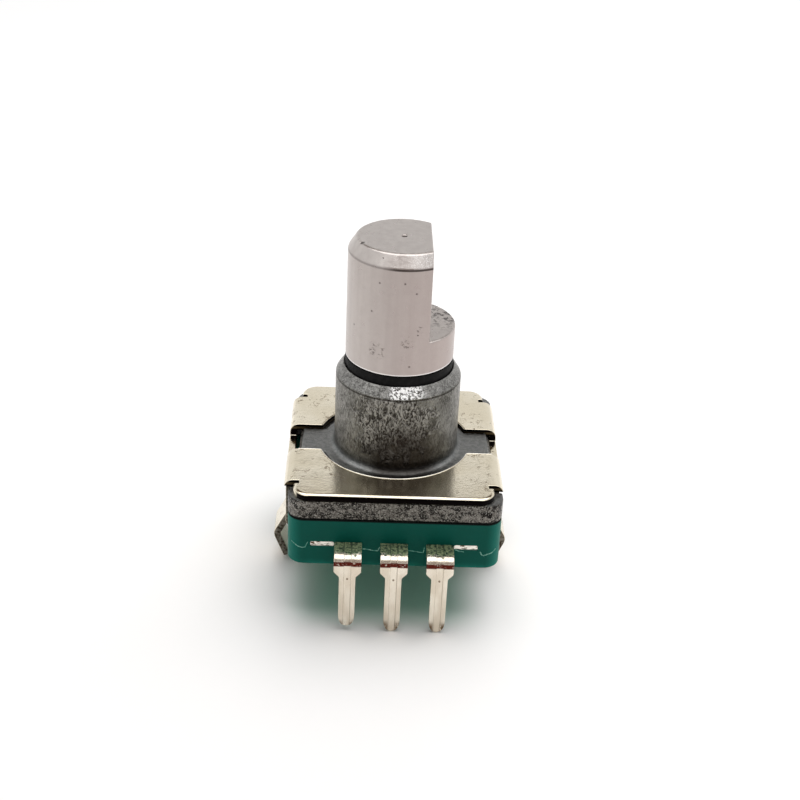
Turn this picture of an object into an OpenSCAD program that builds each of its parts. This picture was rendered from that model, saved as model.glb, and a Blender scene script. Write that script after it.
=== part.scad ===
// Rotary encoder with a D shaft and no push switch, for soldering into a circuit board.
// z = 0 is the seat of the moulded base on the board, and the shaft turns about +Z.
// The terminals leave the front (-Y). The snap-in legs drop on the left and right (-X and +X).

/* [Body] */
// Width of the base and of the cast flange
body_w = 11.7; // [11.4:0.1:14]
// Depth of the base and of the cast flange
body_d = 12.4; // [12.2:0.1:13]
// Height from the board to the top of the bracket
body_h = 4.5; // [4.4:0.1:6.5]
// Height of the moulded base
base_h = 2.9; // [2.6:0.05:3.1]
// Radius of the upright corners of the base and the flange
corner_r = 0.9; // [0.4:0.1:1.4]

/* [Shaft] */
// Length of the shaft above the top of the bracket
shaft_len = 12.5; // [12:0.5:30]
// Diameter of the shaft
shaft_d = 6; // [5.8:0.1:6.2]
// Distance from the D flat to the far side of the shaft
flat_across = 4.5; // [3.8:0.1:5.4]
// Length of the D flat
flat_len = 5; // [2:0.5:5.5]
// Width of the chamfer round the tip
tip_chamfer_w = 0.45; // [0.1:0.05:0.6]
// Height of the chamfer round the tip
tip_chamfer_h = 0.7; // [0.1:0.05:1]
// Diameter of the centre mark in the tip
centre_mark_d = 0.36; // [0.1:0.02:0.8]
// Diameter of the shaft inside the bushing
neck_d = 5; // [4.7:0.1:5.2]

/* [Bushing] */
// Diameter of the bushing
bushing_d = 7; // [6.8:0.1:8]
// Length of the bushing above the top of the bracket
bushing_len = 5; // [4:0.25:5.25]
// Width of the seal ring between the shaft and the bushing's mouth
seal_w = 0.45; // [0.3:0.05:0.5]
// Height of the bevel round the bushing's mouth
lip_h = 0.6; // [0.1:0.05:1]
// Depth of the mouth that holds the seal ring
mouth_deep = 0.5; // [0.3:0.05:1]
// Radius of the fillet at the foot of the bushing
foot_r = 0.3; // [0.1:0.05:0.4]
// Width of the raised ring round the bushing that centres the bracket
boss_w = 0.7; // [0.5:0.05:0.8]
// How far the raised ring lies below the top of the bracket
boss_drop = 0.2; // [0.05:0.05:0.3]
// How far each raised pad ends short of the recess for the bracket's wall
pad_gap = 0.18; // [0.1:0.01:0.4]
// Height of the shaft's shoulder above the mouth
shoulder_gap = 0.6; // [0.3:0.05:0.7]

/* [Bracket] */
// Thickness of the bracket's sheet
sheet_t = 0.4; // [0.3:0.05:0.5]
// How far the bracket's top plate stands over the flange, front and back
plate_overhang = 0.05; // [0:0.01:0.2]
// Radius of the plate's corners
plate_corner_r = 0.9; // [0.3:0.1:1.4]
// Gap between the raised ring and the round cut-out of the plate
cutout_gap = 0.14; // [0.14:0.01:0.2]
// Width of the slot across the plate
slot_w = 2.75; // [2:0.05:3.2]
// Length of each side wall along its bend
wall_len = 9.5; // [8.6:0.1:10]
// Depth of the recesses in the sides of the body that take the walls
wall_set_in = 0.36; // [0.3:0.01:0.4]
// Play of the bracket on each side of the body, all of it taken up towards -X
bracket_play = 0.1; // [0:0.01:0.12]
// Width of each snap-in leg
leg_w = 2; // [1.4:0.1:2.2]
// How far each snap-in leg reaches below the board
leg_drop = 3.15; // [2.8:0.05:4]
// Angle at which each leg leaves the wall
leg_out_angle = 28; // [12:1:32]
// Angle at which each leg's foot turns back in
leg_in_angle = 22; // [10:1:30]
// Width of each claw that is folded under the base
claw_w = 1.4; // [0.8:0.1:1.6]
// Length of each claw under the base
claw_len = 1.2; // [0.8:0.1:1.4]

/* [Terminals] */
// Distance between neighbouring terminals
pitch = 2.5; // [2.3:0.1:2.6]
// Distance from the shaft's axis to the row of terminals
row_y = 7.5; // [7.3:0.1:8.5]
// Thickness of the terminals
terminal_t = 0.3; // [0.25:0.05:0.35]
// Width of a terminal where it leaves the base
root_w = 1.5; // [1.2:0.1:1.7]
// Width of a terminal's pin
pin_w = 0.9; // [0.6:0.1:1.1]
// How far the pins reach below the board
pin_drop = 3.4; // [3:0.1:5]
// Length of the rounded tip of each pin
pin_tip = 0.75; // [0.45:0.05:1]
// How much shorter the first pin was sheared
first_pin_short = 0.3; // [0:0.05:0.5]
// Height of the leads' upper face above the board
lead_top = 1.5; // [1.4:0.05:1.55]
// Width of the groove pressed along each terminal
groove_w = 0.38; // [0.2:0.02:0.5]
// Depth of the groove pressed along each terminal
groove_deep = 0.05; // [0.02:0.01:0.1]
// Width of each cut tie bar beside the terminals
tie_bar_w = 1.3; // [0.6:0.1:1.4]

/* [Mechanism] */
// Number of detents in a turn
detents = 20; // [12:2:24]
// Depth of each detent's valley
detent_deep = 0.12; // [0.06:0.01:0.16]
// Radius of the rotor's rim
rotor_r = 4.5; // [4.3:0.05:4.6]
// Thickness of the rotor with its code disc
rotor_t = 0.75; // [0.6:0.05:0.8]
// Height of the rotor's hub above its rim
hub_rise = 0.25; // [0.2:0.05:0.3]
// Thickness of the code disc
disc_t = 0.15; // [0.1:0.05:0.25]
// Height of the wipers' travel above the floor of the base
wiper_rise = 0.65; // [0.55:0.05:0.7]
// Radius of the track that the two signal wipers run on
signal_track_r = 3.5; // [3.4:0.05:3.6]
// Radius of the track that the common wiper runs on
common_track_r = 2.6; // [2.5:0.05:2.7]
// Width of each wiper
wiper_w = 0.9; // [0.7:0.05:1]
// Thickness of the wipers
wiper_t = 0.12; // [0.08:0.02:0.16]
// Radius of the shaft's retaining ring
clip_r = 2.8; // [2.6:0.05:2.9]
// Thickness of the shaft's retaining ring
clip_t = 0.3; // [0.2:0.05:0.35]
// Thickness of the thrust washer
washer_t = 0.15; // [0.1:0.05:0.2]
// Thickness of the detent spring
spring_t = 0.15; // [0.1:0.05:0.2]

/* [Fits] */
// Clearance round the shaft in its bearings
run_fit = 0.03; // [0.02:0.01:0.08]
// Clearance between faces that turn past each other
face_gap = 0.05; // [0.04:0.01:0.1]
// Clearance of pieces that are assembled into each other
seat_fit = 0.03; // [0.02:0.01:0.06]

/* [Hidden] */
$fn = 72;
// Overshoot that carries a cut clean through a face
cut = 1;
// Largest step along a bend, in degrees
bend_step = 12;
// Height between the rotor's rim and the ceiling that the detent spring lies against
spring_room = 0.55;
// Flat left round the bushing's mouth between its bevel and its bore
mouth_edge = 0.05;
// Room round the rim of the rotor
rotor_room = 0.3;
// Room between the retaining ring and the detent spring
spring_gap = 0.35;
// Half the width of each track on the code disc
track_half_w = 0.5;
// Middle radius of the bends in the bracket's sheet
bend_r = 0.35;

// Heights, from the board upwards
lead_bottom = lead_top - terminal_t;
disc_z = lead_top + wiper_rise;
rim_z = disc_z + rotor_t;
hub_z = rim_z + hub_rise;
clip_z = hub_z + 2 * face_gap;
washer_z = clip_z + clip_t + face_gap;
washer_ceiling = washer_z + washer_t;
spring_ceiling = rim_z + spring_room;
plate_z = body_h - sheet_t;
boss_z = body_h - boss_drop;
bushing_top = body_h + bushing_len;
seal_floor = bushing_top - mouth_deep;
shoulder_z = bushing_top + shoulder_gap;
shaft_top = body_h + shaft_len;

// Widths that pieces share
shaft_r = shaft_d / 2;
neck_r = neck_d / 2;
bore_r = neck_r + run_fit;
bushing_r = bushing_d / 2;
mouth_r = neck_r + seal_w + 2 * face_gap;
lip_w = bushing_r - mouth_r - mouth_edge;
cavity_r = rotor_r + rotor_room;
boss_r = bushing_r + boss_w;
cutout_r = boss_r + cutout_gap;
plate_d = body_d + 2 * plate_overhang;
wall_x = body_w / 2 - wall_set_in;
pad_end = wall_x - pad_gap;
wall_outer = wall_x + seat_fit + bracket_play + sheet_t;
wall_mid = wall_outer - sheet_t / 2;
inner_bend_r = bend_r - sheet_t / 2;
spring_inner = clip_r + spring_gap;
spring_outer = cavity_r - seat_fit;
spring_middle_r = (spring_inner + spring_outer) / 2;

// The lower end of the shaft: a keyed length in the rotor and a pivot in the base
key_r = 2.2;
key_flat = 1.7;
pivot_r = 1;
pivot_z = lead_top + face_gap;
pivot_boss_r = 1.6;
pivot_boss_z = disc_z - 2 * face_gap;
clip_groove_r = 1.95;

// Gap between the two tines of a wiper
tine_gap = 0.2;
// Room round a wiper in the floor of the base
well_gap = 0.2;
// How much wider than its wiper a lead ends on each side
lead_shoulder = 0.1;
// How far each lead runs straight in from the front of the base
lead_inset = 1;
// Lengths of the signal wipers and of the common wiper
signal_wiper_len = 3.2;
common_wiper_len = 2;

// The two signal wipers touch the disc a quarter of a detent period out of step
quarter_period = 360 / detents / 4;
periods_between = floor(120 / (360 / detents));
signal_angle = periods_between * 360 / detents + quarter_period;
tip_a = signal_track_r * [cos(90 + signal_angle / 2), sin(90 + signal_angle / 2)];
tip_b = signal_track_r * [cos(90 - signal_angle / 2), sin(90 - signal_angle / 2)];
tip_c = [0, -common_track_r];

// Points of a strip's middle line. Each move is [straight length, turn in degrees, bend radius],
// and each point is [x, y, heading].
function bend_path(moves, p = [0, 0], h = 0, i = 0) =
    i == len(moves) ? [[p.x, p.y, h]] :
    let (q = p + moves[i][0] * [cos(h), sin(h)],
        turn = moves[i][1],
        r = moves[i][2] * sign(turn),
        centre = q + r * [-sin(h), cos(h)],
        steps = ceil(abs(turn) / bend_step),
        bend = [for (k = [1:1:steps - 1]) let (a = h + turn * k / steps)
            [centre.x + r * sin(a), centre.y - r * cos(a), a]],
        end = centre + r * [sin(h + turn), -cos(h + turn)])
    concat([[p.x, p.y, h]], moves[i][0] > 0 ? [[q.x, q.y, h]] : [], bend,
        bend_path(moves, end, h + turn, i + 1));

// The same line moved sideways, to the left of its heading
function beside(path, side) = [for (p = path) [p.x - side * sin(p[2]), p.y + side * cos(p[2])]];

function reversed(list) = [for (i = [len(list) - 1:-1:0]) list[i]];

// A strip of sheet seen on edge, from one side of its middle line to the other
module strip(path, right, left) {
    polygon(concat(beside(path, left), reversed(beside(path, -right))));
}

// Stands a drawing of Y and Z up, with its thickness along X about the middle
module along_x(width) {
    translate([-width / 2, 0, 0]) rotate([90, 0, 90]) linear_extrude(width) children();
}

// Stands a drawing of X and Z up, with its thickness along Y about the middle
module along_y(width) {
    translate([0, width / 2, 0]) rotate([90, 0, 0]) linear_extrude(width) children();
}

module rounded_plan(w, d, r) {
    square([w - 2 * r, d], center = true);
    square([w, d - 2 * r], center = true);
    for (x = [-1, 1], y = [-1, 1])
        translate([x * (w / 2 - r), y * (d / 2 - r)]) circle(r);
}

module ring(inner, outer, z, t) {
    translate([0, 0, z]) linear_extrude(t) difference() {
        circle(outer);
        circle(inner);
    }
}

// The two side recesses that take the bracket's walls
module wall_recess(length) {
    for (side = [-1, 1])
        translate([side * (wall_x + body_w / 2), 0, body_h / 2])
            cube([body_w, length, 2 * body_h], center = true);
}

// Eases an edge at (wall_x, z), so that it clears the inside of a bend in the sheet
module bend_relief(length, z) {
    ease = inner_bend_r + seat_fit;
    for (turn = [0, 180]) rotate([0, 0, turn])
        translate([wall_x, 0, z]) rotate([0, 45, 0])
            cube([sqrt(2) * ease, length, sqrt(2) * ease], center = true);
}

// ---- The cast bushing with its flange ----

// Clearance of the casting inside the bracket, and of the base round its claws
boss_fit = 0.1;

module boss_plan() {
    circle(boss_r);
    square([2 * pad_end, slot_w - 2 * boss_fit], center = true);
}

// The outside of the bushing, with the fillet at its foot and the bevel at its mouth
module bushing_turned() {
    foot = bushing_r + foot_r;
    rotate_extrude() polygon([
        [0, plate_z],
        [foot, plate_z],
        for (a = [0:15:90]) [foot - foot_r * sin(a), boss_z + foot_r - foot_r * cos(a)],
        [bushing_r, bushing_top - lip_h],
        [bushing_r - lip_w, bushing_top],
        [0, bushing_top]
    ]);
}

// Everything that is bored out of the casting, from the rotor's recess up to the seal's mouth
module bushing_bore() {
    washer_room_r = clip_r + 2 * face_gap;
    rotate_extrude() polygon([
        [0, base_h - cut],
        [cavity_r, base_h - cut],
        [cavity_r, spring_ceiling],
        [washer_room_r, spring_ceiling],
        [washer_room_r, washer_ceiling],
        [bore_r, washer_ceiling],
        [bore_r, seal_floor],
        [mouth_r, seal_floor],
        [mouth_r, bushing_top + cut],
        [0, bushing_top + cut]
    ]);
}

module bushing() {
    color("dimgray") difference() {
        union() {
            translate([0, 0, base_h]) linear_extrude(plate_z - base_h)
                rounded_plan(body_w, body_d, corner_r);
            translate([0, 0, plate_z]) linear_extrude(boss_z - plate_z) boss_plan();
            bushing_turned();
        }
        bushing_bore();
        wall_recess(wall_len + 2 * boss_fit);
        bend_relief(wall_len + boss_fit, plate_z);
        base_pegs(seat_fit);
    }
}

// ---- The bracket ----

// Relief notches in the plate at the two ends of each bend
side_notch_w = 0.3;
side_notch_deep = 0.3;
// Height at which the walls end between the leg and the claws
wall_foot = 0.75;
// Gap between a leg and the claw beside it
claw_gap = 0.4;
claw_y = leg_w / 2 + claw_gap + claw_w / 2;
claw_wall_y = claw_y + claw_w / 2;
claw_z = sheet_t / 2 + seat_fit;
// How far the slot runs down each wall from the top of the plate
slot_down = 0.75;
// Shape of a leg: radius of its elbow, drop of its upper bend below the board, and sloping length
leg_elbow_r = 0.5;
leg_knee = 0.1;
leg_slope_len = 1.45;

module cutout_plan() {
    circle(cutout_r);
    square([2 * wall_outer + cut, slot_w], center = true);
}

module plate_plan() {
    difference() {
        rounded_plan(2 * (wall_mid - bend_r), plate_d, plate_corner_r);
        cutout_plan();
        for (x = [-1, 1], y = [-1, 1])
            translate([x * (wall_mid - bend_r), y * (wall_len + side_notch_w) / 2])
                square([2 * side_notch_deep, side_notch_w], center = true);
    }
}

// Side view of one wall with its leg: Y across, Z up
module wall_outline() {
    difference() {
        union() {
            polygon([
                [-wall_len / 2, body_h + cut], [-wall_len / 2, body_h - sheet_t],
                [-claw_wall_y, base_h + seat_fit], [-claw_wall_y, wall_foot],
                [claw_wall_y, wall_foot], [claw_wall_y, base_h + seat_fit],
                [wall_len / 2, body_h - sheet_t], [wall_len / 2, body_h + cut]]);
            translate([-leg_w / 2, -leg_drop - cut]) square([leg_w, leg_drop + body_h]);
        }
        translate([-slot_w / 2, body_h - slot_down]) square([slot_w, 2 * cut]);
    }
}

// Edge view of the sheet from the plate over the bend and down the leg: X across, Z up
module leg_edge() {
    bends_drop = bend_r * sin(leg_out_angle)
        + leg_elbow_r * (sin(leg_out_angle) + sin(leg_in_angle)) + sheet_t / 2 * sin(leg_in_angle);
    foot_len = (leg_drop + leg_knee - bends_drop - leg_slope_len * cos(leg_out_angle))
        / cos(leg_in_angle);
    strip(bend_path([
        [0, -90, bend_r],
        [plate_z + sheet_t / 2 - bend_r - leg_knee, leg_out_angle, bend_r],
        [leg_slope_len, -leg_out_angle - leg_in_angle, leg_elbow_r],
        [foot_len, 0, 0]], [wall_mid - bend_r, plate_z + sheet_t / 2], 0), sheet_t / 2, sheet_t / 2);
}

// Edge view of a claw: down the wall, round the base's edge and under it
module claw_edge() {
    strip(bend_path([
        [wall_foot + cut - claw_z - bend_r, -90, bend_r],
        [claw_len, 0, 0]], [wall_mid, wall_foot + cut], -90), sheet_t / 2, sheet_t / 2);
}

module bracket() {
    color("tan") translate([-bracket_play, 0, 0]) {
        translate([0, 0, plate_z]) linear_extrude(sheet_t) plate_plan();
        for (turn = [0, 180]) rotate([0, 0, turn]) {
            intersection() {
                along_y(wall_len) leg_edge();
                translate([wall_mid, 0, 0]) along_x(4 * cut) wall_outline();
            }
            for (y = [-claw_y, claw_y]) translate([0, y, 0]) along_y(claw_w) claw_edge();
        }
    }
}

// ---- The moulded base with its terminals ----

// Radius, height and distance from the sides of the pegs that place the flange
peg_r = 0.35;
peg_h = 0.5;
peg_inset = 1.1;
// Height of the pockets that let the claws lie flush with the underside
claw_pocket_h = sheet_t + 2 * seat_fit;
// Holes in the underside where the mould held the leads: their width and distance from the front
window_w = 0.8;
window_inset = 1.2;

// Four pegs that place the flange on the base
module base_pegs(extra) {
    for (x = [-1, 1], y = [-1, 1])
        translate([x * (body_w / 2 - peg_inset), y * (body_d / 2 - peg_inset), base_h - extra])
            cylinder(r = peg_r + extra, h = peg_h + 2 * extra);
}

// Plan of the lead inside the base, from the pin to the root of its wiper
module lead_plan(pin_x, root) {
    polygon([
        [pin_x - root_w / 2, lead_inset - body_d / 2],
        [pin_x + root_w / 2, lead_inset - body_d / 2],
        [root.x + wiper_w / 2 + lead_shoulder, root.y],
        [root.x - wiper_w / 2 - lead_shoulder, root.y]]);
}

module lead(pin_x, root) {
    translate([0, 0, lead_bottom]) linear_extrude(terminal_t) {
        lead_plan(pin_x, root);
        translate([pin_x - root_w / 2, -body_d / 2]) square([root_w, lead_inset]);
    }
}

// Front view of a pin with its wide root: X across, Z up
module pin_outline(drop) {
    tip_r = pin_w / 2;
    taper_top = 0.5;
    taper_foot = 0.17;
    translate([-root_w / 2, taper_top]) square([root_w, lead_top]);
    polygon([[-root_w / 2, taper_top], [root_w / 2, taper_top],
        [tip_r, taper_foot], [-tip_r, taper_foot]]);
    translate([-tip_r, pin_tip - drop]) square([pin_w, drop - pin_tip + taper_foot]);
    polygon([for (a = [180:15:360]) [tip_r * cos(a), pin_tip - drop + pin_tip * sin(a)]]);
}

// Edge view of a pin: Y across, Z up
module pin_edge(drop, right, left) {
    pin_bend_r = 0.3;
    strip(bend_path([
        [row_y - body_d / 2 - pin_bend_r, 90, pin_bend_r],
        [drop + lead_bottom, 0, 0]], [-body_d / 2, lead_top - terminal_t / 2], 180), right, left);
}

module pin(drop) {
    intersection() {
        difference() {
            along_x(root_w) pin_edge(drop, terminal_t / 2, terminal_t / 2);
            along_x(groove_w) pin_edge(drop, terminal_t, groove_deep - terminal_t / 2);
        }
        translate([0, -row_y, 0]) along_y(2 * row_y) pin_outline(drop);
    }
}

// A wiper rises from its lead to the code disc on two tines
module wiper(root, len) {
    foot = 0.3;
    foot_bend_r = 0.4;
    nose_len = 0.5;
    nose_r = 0.25;
    nose_turn = 40;
    tip_len = 0.15;
    rise = disc_z - face_gap - wiper_t - (lead_bottom + wiper_t / 2);
    slope = atan2(rise, len);
    translate([root.x, root.y, 0]) difference() {
        along_x(wiper_w) strip(bend_path([
            [foot, slope, foot_bend_r],
            [norm([len, rise]) - nose_len, -slope - nose_turn, nose_r],
            [tip_len, 0, 0]], [-foot, lead_bottom + wiper_t / 2], 0), wiper_t / 2, wiper_t / 2);
        translate([0, len / 2 + nose_len + cut, disc_z])
            cube([tine_gap, len + 2 * cut, 4 * cut], center = true);
    }
}

// Room in the floor of the base for a wiper to move in
module wiper_well(root, len) {
    translate([root.x - wiper_w / 2 - well_gap, root.y, lead_bottom - well_gap])
        cube([wiper_w + 2 * well_gap, len + 2 * well_gap, terminal_t + well_gap + cut]);
}

function wiper_root(tip, len) = [tip.x, tip.y - len];
root_a = wiper_root(tip_a, signal_wiper_len);
root_b = wiper_root(tip_b, signal_wiper_len);
root_c = wiper_root(tip_c, common_wiper_len);

module terminal(pin_x, root, len, drop) {
    color("wheat") {
        translate([pin_x, 0, 0]) pin(drop);
        lead(pin_x, root);
        wiper(root, len);
    }
}

module terminal_a() { terminal(-pitch, root_a, signal_wiper_len, pin_drop - first_pin_short); }
module terminal_b() { terminal(pitch, root_b, signal_wiper_len, pin_drop); }
module terminal_c() { terminal(0, root_c, common_wiper_len, pin_drop); }

// A cut end of the lead frame, flush with the front of the base
module tie_bar(side) {
    middle = pitch + root_w / 2 + seat_fit + tie_bar_w / 2;
    color("wheat")
        translate([side * middle - tie_bar_w / 2, -body_d / 2, lead_bottom])
            cube([tie_bar_w, lead_inset, terminal_t]);
}
module tie_bar_left() { tie_bar(-1); }
module tie_bar_right() { tie_bar(1); }

module base_solid() {
    linear_extrude(base_h) rounded_plan(body_w, body_d, corner_r);
    base_pegs(0);
}

module base() {
    color("teal") {
        difference() {
            base_solid();
            translate([0, 0, lead_top]) cylinder(r = cavity_r, h = base_h);
            wall_recess(2 * claw_wall_y + 2 * boss_fit);
            bend_relief(2 * claw_wall_y + boss_fit, claw_pocket_h);
            for (side = [-1, 1], y = [-claw_y, claw_y])
                translate([side * (wall_mid - claw_len / 2), y, 0])
                    cube([claw_len + 2 * (bend_r + boss_fit + bracket_play),
                        claw_w + 2 * boss_fit, 2 * claw_pocket_h], center = true);
            lead(-pitch, root_a);
            lead(0, root_c);
            lead(pitch, root_b);
            tie_bar(-1);
            tie_bar(1);
            wiper_well(root_a, signal_wiper_len);
            wiper_well(root_b, signal_wiper_len);
            wiper_well(root_c, common_wiper_len);
            for (x = [-pitch, 0, pitch])
                translate([x - window_w / 2, window_inset - body_d / 2, -cut])
                    cube([window_w, window_w, lead_bottom + cut]);
        }
        ring(pivot_r + run_fit, pivot_boss_r, lead_top, pivot_boss_z - lead_top);
    }
}

// ---- The detent ----

// A ring of spring sheet with two noses pressed down into the rotor's valleys
module detent_spring() {
    spring_z = spring_ceiling - spring_t;
    arm_w = 0.7;
    arm_gap = 0.1;
    arm_flat = 0.3;
    nose_r = 0.25;
    nose_turn = 50;
    nose_drop = spring_z - (rim_z - detent_deep + face_gap);
    slope_len = (nose_drop - 2 * nose_r * (1 - cos(nose_turn))) / sin(nose_turn);
    half_span = arm_flat + 2 * nose_r * sin(nose_turn) + slope_len * cos(nose_turn);
    color("silver") {
        difference() {
            ring(spring_inner, spring_outer, spring_z, spring_t);
            for (side = [-1, 1]) translate([0, side * spring_middle_r, spring_z])
                cube([2 * (half_span - arm_flat), arm_w + 2 * arm_gap, 4 * spring_t],
                    center = true);
        }
        for (side = [-1, 1]) translate([0, side * spring_middle_r, 0])
            along_y(arm_w) strip(bend_path([
                [arm_flat, -nose_turn, nose_r],
                [slope_len, 2 * nose_turn, nose_r],
                [slope_len, -nose_turn, nose_r],
                [arm_flat, 0, 0]], [-half_span, spring_z + spring_t / 2], 0),
                spring_t / 2, spring_t / 2);
    }
}

module thrust_washer() {
    color("silver") ring(neck_r + face_gap, clip_r, washer_z, washer_t);
}

module seal_ring() {
    color("black") ring(neck_r + face_gap, mouth_r - face_gap, seal_floor,
        shoulder_z - face_gap - seal_floor);
}

// ---- What turns ----

module key_plan(extra) {
    intersection() {
        circle(key_r + extra);
        square([4 * key_r, 2 * (key_flat + extra)], center = true);
    }
}

module shaft() {
    color("lightgray") {
        difference() {
            rotate_extrude() polygon([
                [0, clip_z],
                [neck_r, clip_z],
                [neck_r, shoulder_z],
                [shaft_r, shoulder_z],
                [shaft_r, shaft_top - tip_chamfer_h],
                [shaft_r - tip_chamfer_w, shaft_top],
                [0, shaft_top]]);
            translate([flat_across - shaft_r, -shaft_d, shaft_top - flat_len])
                cube([shaft_d, 2 * shaft_d, flat_len + cut]);
            translate([0, 0, shaft_top - centre_mark_d / 2])
                cylinder(r1 = 0, r2 = centre_mark_d, h = centre_mark_d);
            ring(clip_groove_r, shaft_r, clip_z - cut, clip_t + face_gap + cut);
        }
        translate([0, 0, disc_z]) linear_extrude(clip_z - disc_z) key_plan(0);
        translate([0, 0, pivot_z]) cylinder(r = pivot_r, h = disc_z - pivot_z);
    }
}

// A C-shaped ring snapped into the shaft's groove
module retaining_ring() {
    mouth_w = clip_r;
    color("silver") translate([0, 0, clip_z + face_gap / 2]) linear_extrude(clip_t) difference() {
        circle(clip_r);
        circle(clip_groove_r + seat_fit);
        translate([-mouth_w / 2, -2 * clip_r]) square([mouth_w, 2 * clip_r]);
    }
}

module code_plan() {
    windows = detents;
    rim_w = 0.2;
    difference() {
        circle(signal_track_r + track_half_w + rim_w);
        circle(key_r + 2 * seat_fit);
        for (i = [0:windows - 1]) rotate(i * 360 / windows) polygon([
            for (corner = [[-1, -1], [1, -1], [1, 1], [-1, 1]])
                let (r = signal_track_r + corner.y * track_half_w, a = corner.x * 90 / windows)
                r * [cos(a), sin(a)]]);
    }
}

module code_disc() {
    color("gold") translate([0, 0, disc_z]) linear_extrude(disc_t) code_plan();
}

module rotor() {
    valley_r = 0.6;
    color([0.1, 0.1, 0.1]) difference() {
        union() {
            translate([0, 0, disc_z]) cylinder(r = rotor_r, h = rotor_t);
            translate([0, 0, disc_z]) cylinder(r = clip_r, h = hub_z - disc_z);
        }
        translate([0, 0, disc_z - cut]) linear_extrude(hub_z - disc_z + 2 * cut)
            key_plan(seat_fit);
        code_disc();
        for (i = [0:detents - 1]) rotate(90 + i * 360 / detents)
            translate([spring_inner - spring_gap / 2, 0, rim_z + valley_r - detent_deep]) rotate([0, 90, 0])
                cylinder(r = valley_r, h = rotor_r);
    }
}

bracket();
bushing();
base();
terminal_a();
terminal_c();
terminal_b();
tie_bar_left();
tie_bar_right();
detent_spring();
thrust_washer();
seal_ring();
shaft();
retaining_ring();
rotor();
code_disc();
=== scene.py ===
from itertools import combinations
from math import cos, hypot, pi, radians, sin

import bmesh
import bpy
import numpy as np
from mathutils import Matrix, Vector
from mathutils.bvhtree import BVHTree


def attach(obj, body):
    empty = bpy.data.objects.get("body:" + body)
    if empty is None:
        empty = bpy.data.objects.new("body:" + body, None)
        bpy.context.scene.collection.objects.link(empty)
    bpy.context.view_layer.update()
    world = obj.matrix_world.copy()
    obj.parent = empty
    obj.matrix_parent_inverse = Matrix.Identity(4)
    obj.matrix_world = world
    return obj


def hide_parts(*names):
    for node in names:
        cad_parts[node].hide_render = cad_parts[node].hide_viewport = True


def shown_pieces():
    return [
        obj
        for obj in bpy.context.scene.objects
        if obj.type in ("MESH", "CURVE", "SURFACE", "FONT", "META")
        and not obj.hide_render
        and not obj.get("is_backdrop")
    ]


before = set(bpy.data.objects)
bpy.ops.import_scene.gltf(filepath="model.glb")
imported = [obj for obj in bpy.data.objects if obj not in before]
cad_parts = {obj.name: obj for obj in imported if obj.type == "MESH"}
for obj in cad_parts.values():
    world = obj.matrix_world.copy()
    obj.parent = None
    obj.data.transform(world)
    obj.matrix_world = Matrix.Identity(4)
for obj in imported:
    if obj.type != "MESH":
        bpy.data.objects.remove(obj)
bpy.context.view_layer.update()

# ---- The photograph's camera ----
# A phone close in front of the encoder, looking down at it, turned a little to the left
# and rolled by a few degrees. A fit to the photograph settled it, with most of these
# points among its readings.

IMAGE_W, IMAGE_H = 800, 800
image_points = {
    "object_left": (275.2, None),
    "object_right": (504.6, None),
    "object_top": (None, 218.1),
    "object_bottom": (None, 633.2),
    "centre_mark": (405.1, 234.5),
    "flat_far_corner": (431.0, 222.5),
    "flat_near_corner": (432.9, 252.2),
    "ledge_near_corner": (430.0, 341.8),
    "shaft_foot": (None, 376.7),
    "bushing_left": (335.4, None),
    "bushing_right": (461.0, None),
    "cutout_near": (None, 479.3),
    "plate_front_left": (312.3, 495.5),
    "plate_front_right": (489.8, 500.6),
    "tip_a": (344.9, 624.5),
    "tip_c": (390.5, 631.6),
    "tip_b": (435.5, 633.2),
    "tie_bar_left": (320.7, 542.2),
    "flash_line": (302.0, 546.6),
}

MM = 0.001
camera_place = Vector((-2.165, -69.794, 45.067)) * MM
camera_aim = Vector((0.257, 2.955, 5.44)) * MM
camera_roll = radians(2.6866)
camera_lens = 63.249
camera_sensor = 36.0

lens_data = bpy.data.cameras.new("phone_camera")
lens_data.sensor_fit = "AUTO"
lens_data.sensor_width = camera_sensor
lens_data.lens = camera_lens
lens_data.clip_start = 5 * MM
lens_data.clip_end = 10
camera = bpy.data.objects.new("phone_camera", lens_data)
bpy.context.scene.collection.objects.link(camera)
camera_back = (camera_place - camera_aim).normalized()
level_right = Vector((0, 0, 1)).cross(camera_back).normalized()
level_up = camera_back.cross(level_right)
camera_right = level_right * cos(camera_roll) + level_up * sin(camera_roll)
camera_up = camera_back.cross(camera_right)
camera.matrix_world = Matrix.Translation(camera_place) @ Matrix(
    (camera_right, camera_up, camera_back)).transposed().to_4x4()
bpy.context.scene.camera = camera


def ray_through(x, y):
    """The direction that image point (x, y) looks in: its offset from the middle, at the lens's length."""
    long_side = max(IMAGE_W, IMAGE_H)
    return (camera_right * (x - IMAGE_W / 2) + camera_up * (IMAGE_H / 2 - y)
            - camera_back * (long_side * camera_lens / camera_sensor)).normalized()


def in_image(points):
    """Image x and y of an array of points: their offsets across and up over their depth."""
    offset = np.asarray(points, float) - np.array(camera_place)
    reach = max(IMAGE_W, IMAGE_H) * camera_lens / camera_sensor
    depth = -offset @ np.array(camera_back)
    return np.stack([IMAGE_W / 2 + reach * (offset @ np.array(camera_right)) / depth,
                     IMAGE_H / 2 - reach * (offset @ np.array(camera_up)) / depth], 1)


def skin_of(*pieces):
    """The finished faces of pieces, as a tree that rays can meet."""
    bpy.context.view_layer.update()
    seen = bpy.context.evaluated_depsgraph_get()
    points, faces = [], []
    for piece in pieces:
        made = piece.evaluated_get(seen)
        mesh = made.to_mesh()
        faces += [[len(points) + i for i in face.vertices] for face in mesh.polygons]
        points += [piece.matrix_world @ vert.co for vert in mesh.vertices]
        made.to_mesh_clear()
    return BVHTree.FromPolygons(points, faces)


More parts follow.
